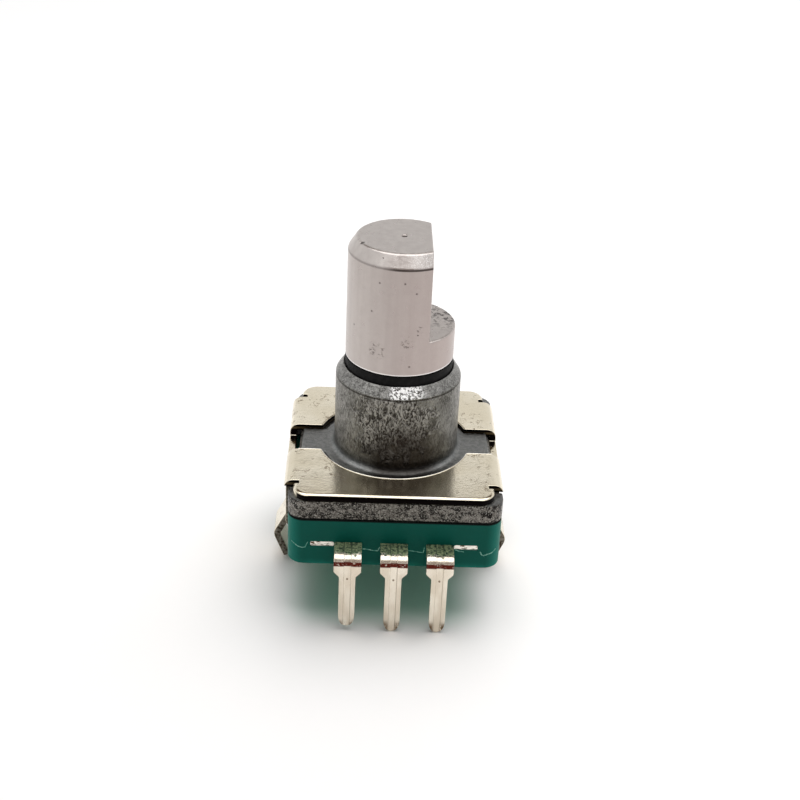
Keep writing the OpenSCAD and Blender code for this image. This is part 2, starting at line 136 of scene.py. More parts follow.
def place_on(skin, x, y):
    """Where image point (x, y) meets a skin, or else the skin's place nearest to that ray."""
    nearest, farthest = 60, 100
    way = ray_through(x, y)
    hit = skin.ray_cast(camera_place, way)
    if hit[0] is not None:
        return hit[0]
    steps = [camera_place + way * (reach * MM) for reach in range(nearest, farthest)]
    return min((skin.find_nearest(spot) for spot in steps), key=lambda found: found[3])[0]


# ---- The moulded base ----
# A square cup of glass-filled green thermoset with the terminals moulded in. It is satin from
# the mould, with a thin pale flash line where the two halves of the mould met.

green = (0.000, 0.070, 0.050)
green_painted_sheen = (0.006, 0.190, 0.145)
green_shade = (0.0005, 0.002, 0.0015)
green_clear = (0.002, 0.105, 0.078)
base_ease = 0.1
merge_gap = 0.0004
flat_angle = radians(0.5)
run_on_angle = radians(140)
least_room = 0.004
end_slack = 0.02
most_room = 10


class Shade:
    """A value in one material's nodes. Arithmetic on it adds Math nodes to the same tree."""

    def __init__(self, tree, socket=None):
        self.tree, self.socket = tree, socket

    def node(self, kind, settings=None, sockets=None, out=0):
        """Adds a node: its settings first, then its sockets' values or links. Gives output out."""
        made = self.tree.nodes.new("ShaderNode" + kind)
        for name, value in (settings or {}).items():
            setattr(made, name, value)
        for name, value in (sockets or {}).items():
            if isinstance(value, Shade):
                self.tree.links.new(value.socket, made.inputs[name])
            elif value is not None:
                made.inputs[name].default_value = value
        return Shade(self.tree, made.outputs[out])

    def math(self, operation, *values):
        return self.node("Math", {"operation": operation}, dict(enumerate(values)))

    def __add__(self, other):
        return self.math("ADD", self, other)

    __radd__ = __add__

    def __sub__(self, other):
        return self.math("SUBTRACT", self, other)

    def __rsub__(self, other):
        return self.math("SUBTRACT", other, self)

    def __mul__(self, other):
        return self.math("MULTIPLY", self, other)

    __rmul__ = __mul__

    def away_from(self, value):
        """How far this is from a value, on either side."""
        return (self - value).math("ABSOLUTE", self - value)

    def between(self, low, high):
        """0 below low, 1 above high, and smooth between them."""
        return self.node("MapRange", {"interpolation_type": "SMOOTHSTEP"},
                         {"Value": self, "From Min": low, "From Max": high})

    def tint(self, first, second):
        """The colour first where this value is 0, and second where it is 1."""
        return self.node("Mix", {"data_type": "RGBA"},
                         {0: self, 6: (*first, 1.0) if isinstance(first, tuple) else first,
                          7: (*second, 1.0) if isinstance(second, tuple) else second}, out=2)


class Finish:
    """A material under way: its nodes, and the place of the surface in millimetres."""

    def __init__(self, name, **fixed):
        self.material = bpy.data.materials.new(name)
        self.material.use_nodes = True
        self.tree = self.material.node_tree
        self.surface = self.tree.nodes["Principled BSDF"]
        for socket, value in fixed.items():
            self.surface.inputs[socket.replace("_", " ")].default_value = value
        self.start = Shade(self.tree)
        spot = self.start.node("TexCoord", out=3)
        self.place = self.stretched((1, 1, 1), spot)

    def stretched(self, scale, spot=None):
        """The place in millimetres, drawn out along each axis by scale."""
        if spot is None:
            return self.start.node("Mapping", {}, {"Vector": self.place, "Scale": scale})
        return self.start.node("Mapping", {}, {"Vector": spot, "Scale": [s / MM for s in scale]})

    def axis(self, name):
        """One coordinate of the place: X, Y or Z, in millimetres."""
        return self.start.node("SeparateXYZ", {}, {0: self.place}, out="XYZ".index(name))

    def facing(self, name):
        """One coordinate of the surface's own normal: X, Y or Z."""
        spot = self.start.node("TexCoord", out=1)
        return self.start.node("SeparateXYZ", {}, {0: spot}, out="XYZ".index(name))

    def noise(self, size, detail=3.0, rough=0.5, place=None, warp=0.0):
        """Cloudy noise, from 0 to 1, with lumps of that size in millimetres."""
        return self.start.node("TexNoise", {}, {
            "Vector": place or self.place, "Scale": 1 / size, "Detail": detail,
            "Roughness": rough, "Distortion": warp})

    def cells(self, size):
        """Distance from the middle of scattered cells of that size, in cell widths."""
        return self.start.node("TexVoronoi", {}, {"Vector": self.place, "Scale": 1 / size})

    def nearness(self, centre, reach):
        """1 at a place in millimetres, falling to 0 at reach from it."""
        away = self.start.node("VectorMath", {"operation": "DISTANCE"},
                               {0: self.place, 1: centre}, out=1)
        return 1 - away.between(0, reach)

    def bump(self, height, depth, under=None):
        """Normals of a relief: height times depth, in millimetres, on top of another relief."""
        return self.start.node("Bump", {}, {
            "Strength": 1.0, "Distance": depth * MM, "Height": height, "Normal": under})

    def wear(self, **sockets):
        """Links the values that change over the surface to the shader."""
        for name, value in sockets.items():
            self.tree.links.new(value.socket, self.surface.inputs[name.replace("_", " ")])
        return self.material


def eased_copy(node, name, ease, steps=3, sharp=32, share=0.45):
    """A CAD node's mesh as one closed skin: doubles merged, flat areas joined, edges rounded.

    ease is the rounding in mm, or a function of an edge's middle in mm that gives it. No rounding
    takes more than that share of the way to the next corner of the faces beside its edge, and
    edges that run on into each other take the same.
    """
    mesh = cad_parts[node].data.copy()
    mesh.name = name
    mesh.materials.clear()
    shape = bmesh.new()
    shape.from_mesh(mesh)
    bmesh.ops.remove_doubles(shape, verts=shape.verts, dist=merge_gap * MM)
    bmesh.ops.dissolve_limit(shape, angle_limit=flat_angle, verts=shape.verts,
                             edges=shape.edges)
    shape.edges.index_update()
    widths = np.zeros(len(shape.edges))
    for edge in shape.edges:
        if edge.calc_face_angle(0) < radians(sharp):
            continue
        start, end = edge.verts[0].co / MM, edge.verts[1].co / MM
        long = (end - start).length
        along = (end - start) / long
        room = most_room
        for corner in (vert.co / MM for face in edge.link_faces for vert in face.verts):
            at = (corner - start).dot(along)
            off = (corner - start - along * at).length
            if off > least_room and -end_slack < at < long + end_slack:
                room = min(room, off)
        wanted = ease(*((start + end) / 2)) if callable(ease) else ease
        widths[edge.index] = min(wanted, share * room)
    chain = np.arange(len(widths))
    for vert in shape.verts:
        rounded = [edge for edge in vert.link_edges if widths[edge.index] > 0]
        for one, other in combinations(rounded, 2):
            ways = [edge.other_vert(vert).co - vert.co for edge in (one, other)]
            if ways[0].angle(ways[1]) > run_on_angle:
                chain[chain == chain[one.index]] = chain[other.index]
    for link in np.unique(chain[widths > 0]):
        widths[chain == link] = widths[chain == link].min()
    shape.to_mesh(mesh)
    shape.free()
    for layer in list(mesh.attributes):
        if layer.name == "custom_normal":
            mesh.attributes.remove(layer)
    widest = float(widths.max())
    weights = mesh.attributes.new("bevel_weight_edge", "FLOAT", "EDGE")
    weights.data.foreach_set("value", widths / widest)
    mesh.shade_smooth()
    mesh.set_sharp_from_angle(angle=radians(sharp))
    piece = bpy.data.objects.new(name, mesh)
    bpy.context.scene.collection.objects.link(piece)
    bevel = piece.modifiers.new("eased_edges", "BEVEL")
    bevel.limit_method = "WEIGHT"
    bevel.width = widest * MM
    bevel.segments = steps
    bevel.use_clamp_overlap = False
    bevel.harden_normals = True
    return piece


def seat(piece, finish, body, slot, *nodes):
    """Gives a piece its finish and its body, and lets it stand for CAD nodes. The slot is not used."""
    piece.data.materials.append(finish)
    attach(piece, body)
    if nodes:
        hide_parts(*nodes)
    return piece


def base_edges(x, y, z):
    """The plastic is moulded round its leads, so only the outer edges are rounded."""
    leads_front, leads_low, leads_high = -6.1, 1.0, 1.7
    round_leads = y < leads_front and leads_low < z < leads_high
    return 0 if round_leads else base_ease


moulded = Finish("moulded_green", Roughness=0.45, IOR=1.45)
moulded.surface.inputs["Specular IOR Level"].default_value = 0.10
clouds = moulded.noise(1.6, 3)
specks = moulded.noise(0.09, 2)
# Painted sheen: paler green in patches along the bottom edge and towards the side corners.
foot_painted_sheen = 1 - moulded.axis("Z").between(0.02, 0.42)
green_seen = (clouds * 0.5 + specks * 0.16).tint(green, green_clear)
green_seen = (foot_painted_sheen * clouds.between(0.3, 0.6) * 0.5).tint(green_seen, green_painted_sheen)
corner_painted_sheen = moulded.axis("X").away_from(0).between(5.0, 5.8)
green_seen = (corner_painted_sheen * 0.75).tint(green_seen, green_painted_sheen)
# Painted shade: near-black green just under the flange, and on the sides where the bracket's walls cover
# them.
flange_gap_shade = moulded.axis("Z").between(2.78, 2.86)
wall_recess_shade = moulded.axis("X").away_from(0).between(5.3, 5.42)
wall_recess_shade = wall_recess_shade * (1 - moulded.axis("Y").away_from(0).between(2.5, 2.7))
green_seen = (flange_gap_shade + wall_recess_shade).tint(green_seen, green_shade)
moulded_green = moulded.wear(
    Base_Color=green_seen, Roughness=clouds * 0.2 + 0.36,
    Normal=moulded.bump(specks * 0.6 + clouds, 0.02))
moulded_base = seat(eased_copy("base", "moulded_base", base_edges), moulded_green,
                    "housing", "moulded_base", "base")

flash_green = (0.03, 0.22, 0.16)
flash_pale = (0.25, 0.52, 0.42)
flash_r = 0.035
flash_rough = 0.02
flash_step = 0.04
flash_smooth = 5
flash_least, flash_spread, flash_end = 0.6, 0.5, 0.3
base_corner_r = 0.9
base_flat_half = 4.95
corner_most = 0.85
bead_sides = 8


def bead(name, line, out, half):
    """A thin bead along a line of places in mm: rings of points round it, closed at both ends.

    Ring k lies at line[k] + half[k] * (cos(a) * across + sin(a) * out), a going once round.
    """
    along = np.gradient(line, axis=0)
    along /= np.linalg.norm(along, axis=1)[:, None]
    across = np.cross(along, out)
    turn = np.arange(bead_sides) * 2 * pi / bead_sides
    rings = (line[:, None] + half[:, None, None] * (
        np.cos(turn)[None, :, None] * across[:, None] + np.sin(turn)[None, :, None] * out))
    count, sides = rings.shape[:2]
    k, i = np.meshgrid(np.arange(count - 1), np.arange(sides), indexing="ij")
    j = (i + 1) % sides
    quads = np.stack([k * sides + i, k * sides + j, (k + 1) * sides + j, (k + 1) * sides + i], -1)
    caps = [list(range(sides))[::-1], [(count - 1) * sides + i for i in range(sides)]]
    mesh = bpy.data.meshes.new(name)
    mesh.from_pydata((rings.reshape(-1, 3) * MM).tolist(), [], quads.reshape(-1, 4).tolist() + caps)
    mesh.update()
    shape = bmesh.new()
    shape.from_mesh(mesh)
    bmesh.ops.recalc_face_normals(shape, faces=shape.faces)
    shape.to_mesh(mesh)
    shape.free()
    mesh.shade_smooth()
    piece = bpy.data.objects.new(name, mesh)
    bpy.context.scene.collection.objects.link(piece)
    return piece


flash = Finish("moulding_flash", Roughness=0.5)
thin = flash.noise(0.15, 3)
moulding_flash = flash.wear(
    Base_Color=thin.between(0.35, 0.65).tint(flash_green, flash_pale),
    Roughness=thin * 0.3 + 0.35)
on_line = place_on(skin_of(moulded_base), *image_points["flash_line"])
line_z = on_line.z / MM
front_y = on_line.y / MM
draw = np.random.default_rng(7)
flash_runs = {
    "left": [(-5.62, 0.22), (-5.25, 0.0), (-4.86, 0.0), (-4.76, 0.26), (-4.70, 0.36)],
    "mid_left": [(-1.73, -0.02), (-1.08, -0.12), (-0.88, -0.16), (-0.78, 0.16)],
    "mid_right": [(0.78, -0.05), (1.62, -0.17), (1.66, 0.22)],
    "right": [(3.32, 0.1), (3.60, 0.0), (3.86, -0.03)],
    "corner": [(4.72, 0.0), (4.82, -0.2), (5.02, -0.2), (5.36, -0.14), (5.60, 0.06)],
}
for run, corners in flash_runs.items():
    corners = np.array(corners)
    reach = np.concatenate([[0], np.cumsum(np.hypot(*np.diff(corners, axis=0).T))])
    steps = np.linspace(0, reach[-1], int(reach[-1] / flash_step) + 2)
    shake = draw.normal(0, flash_rough, len(steps) + flash_smooth - 1)
    wobble = np.convolve(shake, np.ones(flash_smooth) / 3, "valid")
    x = np.interp(steps, reach, corners[:, 0])
    z = np.interp(steps, reach, corners[:, 1]) + line_z + wobble
    past = np.clip(abs(x) - base_flat_half, 0, corner_most)
    y = front_y + base_corner_r - np.sqrt(base_corner_r ** 2 - past ** 2)
    half = flash_r * (flash_least + flash_spread * draw.random(len(x)))
    half[[0, -1]] *= flash_end
    seat(bead("flash_line_" + run, np.stack([x, y, z], 1), np.array([0, -1.0, 0]), half),
         moulding_flash, "housing", "moulded_base")

# ---- Terminals ----
# Three legs stamped from one strip of tinned brass, with a groove pressed along each.
# The press bent them down in front of the base, and their inner ends are the wipers.

tin = (0.845, 0.780, 0.665)
tin_dull = (0.700, 0.620, 0.505)
stain = (0.120, 0.065, 0.026)
painted_bend_reflection = (0.085, 0.014, 0.009)
flux_pale = (0.30, 0.36, 0.20)
flux_dark = (0.012, 0.035, 0.022)
terminal_ease = 0.045
pitch = 2.5
groove_half = 0.19
punch_z = 0.06

tinned = Finish("tinned_brass")
film = tinned.noise(0.5, 3, place=tinned.stretched((1, 1, 0.35)))
grain = tinned.noise(0.06, 3)
mottle = tinned.noise(0.16, 4, 0.7)
height = tinned.axis("Z")
depth = tinned.axis("Y")
across = (tinned.axis("X") + pitch / 2).math(
    "FLOORED_MODULO", tinned.axis("X") + pitch / 2, pitch) - pitch / 2
to_side = across.away_from(0)
tip_stain = (1 - height.between(-3.05, -2.5)) * to_side.between(0.08, 0.32)
tip_stain = tip_stain * tinned.noise(0.2, 3).between(0.30, 0.42)
groove_line = (1 - (across - groove_half).away_from(0).between(0.0, 0.035)) * film.between(0.35, 0.6)
groove_line = groove_line * height.between(-3.3, -2.8) * (1 - height.between(0.9, 1.0))
above_punch = height - punch_z
punch = 1 - (across * across + above_punch * above_punch).between(0.0008, 0.006)
punch = punch * (1 - depth.between(-7.6, -7.55))
# Painted reflection: a dark red-brown band across the front of each bend.
bend_reflection_band = height.between(0.87, 0.93) * (1 - height.between(1.15, 1.21))
bend_reflection_band = bend_reflection_band * (1 - depth.between(-7.6, -7.5)) * mottle.between(0.25, 0.45)
flux = (depth + tinned.noise(0.22, 3, 0.6) * 1.1).between(-6.74, -6.64) * height.between(1.28, 1.34)
tin_seen = film.between(0.35, 0.7).tint(tin_dull, tin)
tin_seen = (tip_stain * 0.95 + groove_line * 0.55 + punch * 0.8).tint(tin_seen, stain)
tin_seen = bend_reflection_band.tint(tin_seen, painted_bend_reflection)
flux_seen = mottle.between(0.38, 0.60).tint(flux_dark, flux_pale)
in_groove = (1 - (to_side - 0.21).away_from(0).between(0.0, 0.05)) * mottle.between(0.3, 0.45)
flux_seen = (in_groove * 0.8).tint(flux_seen, flux_dark)
tin_seen = flux.tint(tin_seen, flux_seen)
tinned_brass = tinned.wear(
    Base_Color=tin_seen, Metallic=1 - flux * 0.6, Roughness=film * 0.16 + flux * 0.25 + 0.17,
    Normal=tinned.bump(grain * 0.35 + film + flux * mottle * 4 - punch, 0.014))
for terminal in ("terminal_a", "terminal_c", "terminal_b"):
    seat(eased_copy(terminal, "tinned_" + terminal, terminal_ease, steps=2), tinned_brass,
         "housing", "tinned_terminal", terminal)

# ---- Tie bars ----
# Where the lead frame was sheared off beside the outer terminals. The torn ends stay flush
# with the front of the base, rough and bright.

torn_dark = (0.10, 0.06, 0.03)
torn_bright = (0.95, 0.90, 0.82)
torn_green_shade = (0.02, 0.09, 0.06)
torn_ease = 0.02

torn = Finish("torn_tie_bar", Metallic=1.0)
tear = torn.noise(0.13, 4, 0.6, place=torn.stretched((0.45, 1, 1)))
# Painted shade: the lower edge of each torn end is dark green.
low_side_shade = 1 - (torn.axis("Z") + tear * 0.20).between(1.35, 1.39)
torn_seen = tear.between(0.40, 0.50).tint(torn_dark, torn_bright)
torn_seen = (low_side_shade * 0.85).tint(torn_seen, torn_green_shade)
torn_tie_bar = torn.wear(
    Base_Color=torn_seen, Roughness=0.5 - tear * 0.3, Normal=torn.bump(tear, 0.06))
for side in ("left", "right"):
    seat(eased_copy("tie_bar_" + side, "torn_tie_bar_" + side, torn_ease, steps=2),
         torn_tie_bar, "housing", "tinned_terminal", "tie_bar_" + side)

# ---- The cast bushing ----
# One zinc die casting, flange and bushing together. The skin is dull and pitted from the mould,
# the mouth was pressed over the seal, and the sides of the flange are grainy.

zinc = (0.205, 0.200, 0.180)
zinc_dull = (0.052, 0.049, 0.040)
zinc_scraped_and_sheen = (0.360, 0.350, 0.325)
zinc_painted_shade = (0.016, 0.010, 0.007)
zinc_dark_and_shade = (0.012, 0.009, 0.007)
zinc_painted_highlight = (1.0, 0.99, 0.98)
foot_dark, foot_clear = (0.17, 0.175, 0.175), (0.29, 0.295, 0.285)
flange_dark, flange_grey = (0.012, 0.010, 0.009), (0.20, 0.185, 0.165)
flange_glint, flange_foot_shade = (0.50, 0.49, 0.45), (0.004, 0.004, 0.003)
lip_dark, lip_clear = (0.075, 0.073, 0.068), (0.33, 0.325, 0.31)
lip_z = 8.9
plate_under = 4.1


def casting_edges(x, y, z):
    """The flange is well rounded at both faces, and the rest of the casting a little."""
    flange_ease, casting_ease = 0.11, 0.06
    return flange_ease if z < plate_under + 0.02 else casting_ease


cast = Finish("cast_zinc", Metallic=1.0)
upright = cast.axis("Z")
on_flange = 1 - upright.between(4.02, 4.10)
on_lip = upright.between(lip_z + 0.02, lip_z + 0.05)
shade_under_lip = upright.between(lip_z - 0.12, lip_z - 0.07) * (1 - upright.between(lip_z - 0.02, lip_z))
blotch = cast.noise(0.9, 3, 0.55)
lumps = cast.noise(0.24, 5, 0.7, warp=0.4)
grit = cast.noise(0.085, 3, 0.65)
drag = cast.noise(0.16, 4, 0.65, place=cast.stretched((1, 1, 0.45)), warp=1.6)
on_side = upright.between(4.7, 5.0) * (1 - on_lip)
pits = (1 - cast.cells(0.30).between(0.10, 0.24)) * blotch.between(0.40, 0.56)
pits = pits * on_side * 0.75
low_front_shade = cast.nearness((0.4, -3.6, 5.0), 3.7).between(0.1, 0.72)
scraped = cast.nearness((-0.2, -3.4, 7.3), 4.4) + cast.noise(0.8, 4, 0.65, warp=0.6) * 1.6
scraped = scraped.between(1.22, 1.48) * on_side
smooth = (blotch * 0.4 + drag * 0.6).between(0.38, 0.64).tint(zinc_dull, zinc)
rough = (drag * 0.7 + lumps * 0.3).between(0.43, 0.58).tint(zinc_dark_and_shade, zinc_scraped_and_sheen)
zinc_seen = (scraped * 0.8).tint(smooth, rough)
# Painted sheen: both sides of the barrel are lighter, with streaks.
to_side = cast.axis("X").away_from(0.2).between(2.0, 3.4) * on_side
zinc_seen = (to_side * 0.55).tint(zinc_seen, drag.between(0.35, 0.65).tint(zinc_dull, zinc_scraped_and_sheen))
# The pits in the scraped patches are darkened, and a band just under the lip is painted shade.
zinc_seen = (pits * scraped * 0.8 + shade_under_lip * 0.75).tint(zinc_seen, zinc_dark_and_shade)
foot_seen = lumps.between(0.3, 0.7).tint(foot_dark, foot_clear)
zinc_seen = (1 - upright.between(4.55, 4.75)).tint(zinc_seen, foot_seen)
# Painted shade: the lower front of the barrel, its foot fillet and the ring before it are darkened to
# near-black brown.
fillet_shade = upright.between(4.32, 4.4) * (1 - upright.between(4.8, 5.0)) * low_front_shade
zinc_seen = (low_front_shade * 0.75 + fillet_shade * 0.08).tint(zinc_seen, zinc_painted_shade)
clods = cast.noise(0.34, 4, 0.75, warp=0.8)
flange_seen = (clods * 0.7 + grit * 0.3).between(0.43, 0.57).tint(flange_dark, flange_grey)
flange_seen = (grit.between(0.56, 0.62) * 0.6).tint(flange_seen, flange_glint)
# Painted shade: a near-black line along the flange's bottom edge, where it sits on the base.
shaded_flange_foot = 1 - upright.between(2.95, 3.06)
flange_seen = shaded_flange_foot.tint(flange_seen, flange_foot_shade)
zinc_seen = on_flange.tint(zinc_seen, flange_seen)
lip_front_highlight = cast.nearness((0.35, -3.3, 9.2), 1.5)
glitter = cast.noise(0.12, 4, 0.7)
lip_seen = (lumps * 0.5 + grit * 0.5).between(0.36, 0.62).tint(lip_dark, lip_clear)
zinc_seen = on_lip.tint(zinc_seen, lip_seen)
# Painted highlight: bright sparkle on the front of the lip.
sparkle = on_lip * (lip_front_highlight + blotch * 0.8).between(0.5, 0.9)
zinc_seen = sparkle.tint(zinc_seen, glitter.between(0.40, 0.54).tint(zinc_dull, zinc_painted_highlight))
relief = lumps * 0.8 + drag * on_side * (scraped * 1.6 + 0.4) - pits * 0.9 + grit * (
    on_flange * 0.7 + on_lip * 0.5 + 0.1) + glitter * sparkle * 2 - shade_under_lip * 0.8 + clods * on_flange * 2
cast_zinc = cast.wear(
    Base_Color=zinc_seen, Roughness=lumps * 0.22 + 0.24, Normal=cast.bump(relief, 0.05))
seat(eased_copy("bushing", "cast_bushing", casting_edges, sharp=28), cast_zinc,
     "housing", "zinc_casting", "bushing")

# ---- The seal ring ----
# A black rubber ring in the mouth of the bushing, which the shaft's shoulder all but hides.

rubber_black = (0.002, 0.002, 0.002)
rubber_dust = (0.010, 0.009, 0.009)
seal_ease = 0.08

rubber = Finish("seal_rubber", Roughness=0.6)
rubber.surface.inputs["Specular IOR Level"].default_value = 0.12
dust = rubber.noise(0.3, 3)
seal_rubber = rubber.wear(
    Base_Color=dust.between(0.4, 0.7).tint(rubber_black, rubber_dust),
    Roughness=dust * 0.25 + 0.5, Normal=rubber.bump(dust, 0.02))
seat(eased_copy("seal_ring", "rubber_seal_ring", seal_ease), seal_rubber,
     "housing", "seal_rubber", "seal_ring")

# ---- The bracket ----
# Plated steel sheet, blanked and bent over the flange. The blanking die rolled the outer edges
# of the top; the sheared faces below are dull, and most of them are painted near-black as
# shade. The top is scuffed in patches.

plate = (0.745, 0.672, 0.520)
plate_pale = (0.830, 0.765, 0.620)
plate_dull = (0.430, 0.350, 0.235)
plate_scuff = (0.300, 0.225, 0.135)
plate_dot = (0.030, 0.022, 0.016)
shear_brown = (0.090, 0.066, 0.036)
shear_shade = (0.003, 0.002, 0.002)
leg_grey = (0.21, 0.195, 0.165)
plate_top = 4.5
rim_from = 5.15
pierced_reach = 5.3


def sheet_edges(x, y, z):
    """Rolled outer edges of the top, smaller rounding where it was pierced, and thin elsewhere."""
    rolled_ease, pierced_ease, thin_ease = 0.22, 0.09, 0.05
    on_top = z > plate_top - 0.05
    if on_top and abs(y) > rim_from:
        return rolled_ease
    return pierced_ease if on_top and hypot(x, y) < pierced_reach else thin_ease


plated = Finish("plated_sheet", Metallic=1.0)
wash = plated.noise(2.4, 3)
fine = plated.noise(0.16, 3)
grain = plated.noise(0.07, 4, 0.7)
patch = plated.noise(1.3, 2).between(0.47, 0.60)
front_mid = plated.nearness((0.5, -5.6, 4.5), 4.2).between(0.0, 0.4)
threads = 1 - plated.noise(0.36, 2, 0.6, warp=1.2).away_from(0.5).between(0.012, 0.045)
threads = threads * patch * plated.noise(0.5, 2).between(0.50, 0.56) * (1 - front_mid)
dots = (1 - plated.cells(0.6).between(0.04, 0.085)) * plated.noise(0.7, 1).between(0.52, 0.56)
dots = dots * (1 - front_mid)
upright_face = 1 - plated.facing("Z").away_from(0).between(0.55, 0.66)
upright_face = upright_face * (1 - plated.axis("X").away_from(0).between(5.3, 5.45))
sheared = upright_face.math(
    "MAXIMUM", upright_face, plated.facing("Y").away_from(0).between(0.70, 0.80))
part_up = plated.axis("Z")
bare_band = part_up.between(4.17, 4.21) * (1 - part_up.between(4.30, 4.36))
bare_band = bare_band * plated.axis("Y").between(-5.0, -4.9)
on_leg = 1 - part_up.between(2.6, 2.9)
leg_band = on_leg * (fine.between(0.35, 0.6) * 0.6 + 0.3)
plate_seen = wash.between(0.3, 0.7).tint(plate, plate_pale)
plate_seen = (grain.between(0.55, 0.75) * 0.35).tint(plate_seen, plate_dull)
plate_seen = (threads * 0.8).tint(plate_seen, plate_scuff)
plate_seen = (dots * 0.9).tint(plate_seen, plate_dot)
# The sheared faces are dull brown in a band at the slots and on the legs, and elsewhere painted near-black
# as shade.
shear_seen = (bare_band + leg_band).tint(shear_shade, shear_brown)
shear_seen = (on_leg * fine.between(0.3, 0.7)).tint(shear_seen, leg_grey)
plate_seen = sheared.tint(plate_seen, shear_seen)
plated_sheet = plated.wear(
    Base_Color=plate_seen, Roughness=wash * 0.06 + fine * 0.08 + sheared * 0.3 + 0.08,
    Normal=plated.bump(fine * 0.2 + wash * 0.8 + grain * 0.1 - threads * 0.25 - dots * 1.5, 0.024))
seat(eased_copy("bracket", "plated_bracket", sheet_edges, share=0.8), plated_sheet,
     "housing", "plated_sheet", "bracket")

# The burr on the near side of the cut-out and slot follows the blank's own pierced edge.
burr_dull = (0.80, 0.76, 0.66)
burr_bright = (0.95, 0.92, 0.84)
burr_half = 0.034
burr_least, burr_spread = 0.4, 1.2
burr_smooth = 9
burr_step = 0.06
burr_reach = 5.5
burr_out, burr_sunk = 0.03, 0.004
edge_far, edge_near, edge_half = -1.2, -4.4, 5.2
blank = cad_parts["bracket"].data
outline = np.empty(len(blank.vertices) * 3)
blank.vertices.foreach_get("co", outline)
outline = np.unique((outline.reshape(-1, 3) / MM).round(3), axis=0)
edge_x, edge_y, edge_z = outline.T
near_edge = outline[(edge_z > plate_top - 0.01) & (edge_y < edge_far) & (edge_y > edge_near)
                    & (abs(edge_x) < edge_half)]
ends = np.array([[-burr_reach, near_edge[0, 1], plate_top],
                 [burr_reach, near_edge[-1, 1], plate_top]])
near_edge = np.concatenate([ends[:1], near_edge, ends[1:]])
x = np.arange(-burr_reach, burr_reach, burr_step)
y = np.interp(x, near_edge[:, 0], near_edge[:, 1]) - burr_out
burr_line = np.stack([x, y, np.full(len(x), plate_top - burr_sunk)], 1)
uneven = np.convolve(
    draw.random(len(x) + burr_smooth - 1), np.ones(burr_smooth) / burr_smooth, "valid")
bright = Finish("sheared_burr", Metallic=1.0)
worn = bright.noise(0.3, 3)
sheared_burr = bright.wear(
    Base_Color=worn.tint(burr_dull, burr_bright), Roughness=worn * 0.2 + 0.15)
burr_width = burr_half * (burr_least + burr_spread * uneven)
seat(bead("cutout_burr", burr_line, np.array([0, 0, 1.0]), burr_width),
     sheared_burr, "housing", "plated_sheet")

# ---- The shaft ----
# Turned from aluminium rod, with the D flat milled on, and left satin. Handling has left
# a few dents and scuffs, and the centre mark of the lathe is in the tip.

aluminium = (0.590, 0.545, 0.515)
aluminium_dull = (0.500, 0.455, 0.430)
aluminium_shade = (0.330, 0.290, 0.275)
aluminium_warm_reflection = (0.330, 0.235, 0.220)
aluminium_dirt_and_shade = (0.050, 0.040, 0.036)
aluminium_dark_reflection = (0.27, 0.22, 0.21)
aluminium_painted_highlight = (0.95, 0.93, 0.92)
shaft_top = 17.0
shaft_r = 3.0
chamfer_mid = 16.5
shoulder_top = 11.0
dents = [(-115, 15.42), (-89, 15.53), (-123, 13.71), (-77, 14.95), (-148, 12.46), (-81, 10.69)]
scuffs = [(-116, 11.45, 0.75), (-84, 12.15, 0.55), (-71, 12.85, 0.35)]


def shaft_edges(x, y, z):
    """The chamfer's two edges and the step of the flat are rounded more than the rest."""
    foot_ease, chamfer_ease, flat_ease, outer_from = 0.03, 0.10, 0.06, 2.9
    if z < shoulder_top:
        return foot_ease
    on_chamfer = z > shaft_top - 0.05 or z < chamfer_mid and hypot(x, y) > outer_from
    return chamfer_ease if on_chamfer else flat_ease


def on_wall(angle, z):
    """A place on the wall of the shaft, in mm, at an angle in degrees from +X."""
    return shaft_r * cos(radians(angle)), shaft_r * sin(radians(angle)), z


turned = Finish("turned_aluminium", Metallic=1.0)
level = turned.axis("Z")
bands = turned.noise(0.5, 3, place=turned.stretched((1, 1, 0.06)))
haze = turned.noise(0.35, 4, 0.6)
satin = turned.noise(0.05, 2)
smear = turned.noise(0.9, 3, 0.6).between(0.45, 0.7)
nicks = (1 - turned.cells(0.9).between(0.03, 0.06)) * turned.noise(0.9, 1).between(0.56, 0.6)
for angle, z in dents:
    nicks = nicks.math("MAXIMUM", nicks, turned.nearness(on_wall(angle, z), 0.09))
rim_dent = turned.nearness((-2.22, -1.12, shaft_top - 0.03), 0.2).between(0.2, 0.5)
nicks = nicks.math("MAXIMUM", nicks, rim_dent)
scuff_zone = None
for angle, z, reach in scuffs:
    spot = turned.nearness(on_wall(angle, z), reach)
    scuff_zone = spot if scuff_zone is None else scuff_zone.math("MAXIMUM", scuff_zone, spot)
slant = turned.stretched((1, 1, 1.7))
scratch = turned.noise(0.28, 4, 0.7, place=slant, warp=0.4).between(0.54, 0.59)
scratch = scratch * scuff_zone.between(0.1, 0.5)
ledge_rim = turned.nearness((2.7, 1.0, 12.0), 2.6) * turned.noise(0.3, 4, 0.7).between(0.50, 0.55)
ledge_rim = ledge_rim * level.between(11.9, 11.98) * (1 - level.between(12.02, 12.1))
